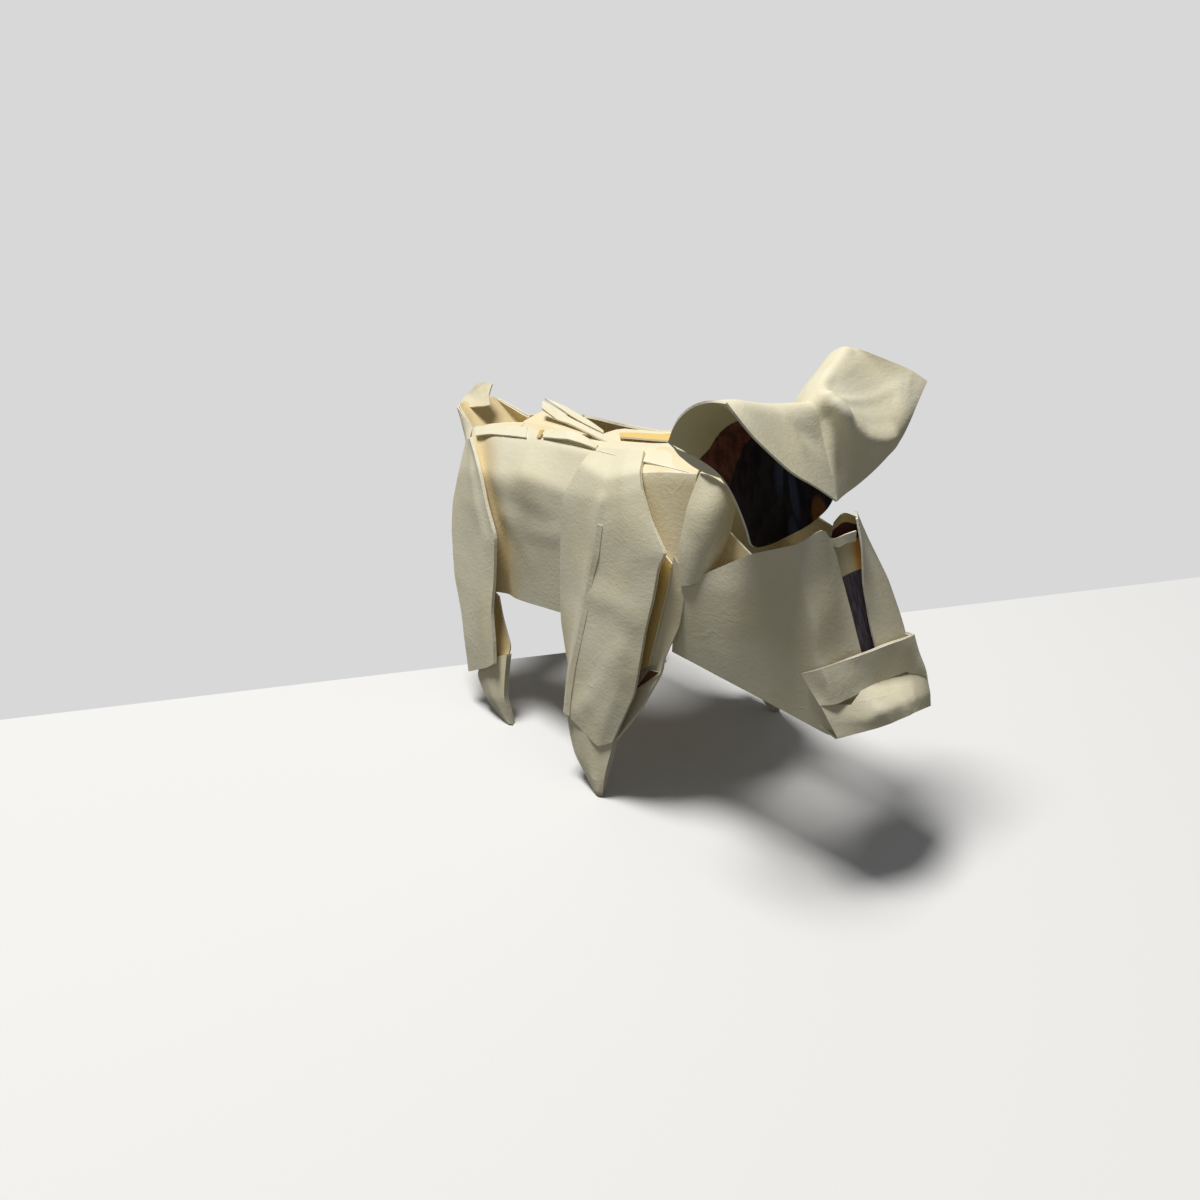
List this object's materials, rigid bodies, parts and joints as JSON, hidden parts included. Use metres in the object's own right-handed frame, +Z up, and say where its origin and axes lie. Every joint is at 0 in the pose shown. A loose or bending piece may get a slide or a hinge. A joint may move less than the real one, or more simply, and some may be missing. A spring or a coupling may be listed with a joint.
{
  "type": "origami pig",
  "caption": "Standing pig folded from one cream paper sheet: hollow A-frame trunk, flattened tapering legs, open rump, boxy head with a slit face and two curled ears.",
  "frame": {"origin": "on the floor under the middle of the bounding box", "axes": "+X forward towards the snout, +Y to the pig's left, +Z up"},
  "size_m": [0.1022, 0.044, 0.0701],
  "materials": {
    "cream_paper": "matte uncoated cream paper with soft crumples, printed on its inner side"
  },
  "bodies": {
    "root": {"origami_pig": "cream_paper"}
  },
  "joints": []
}
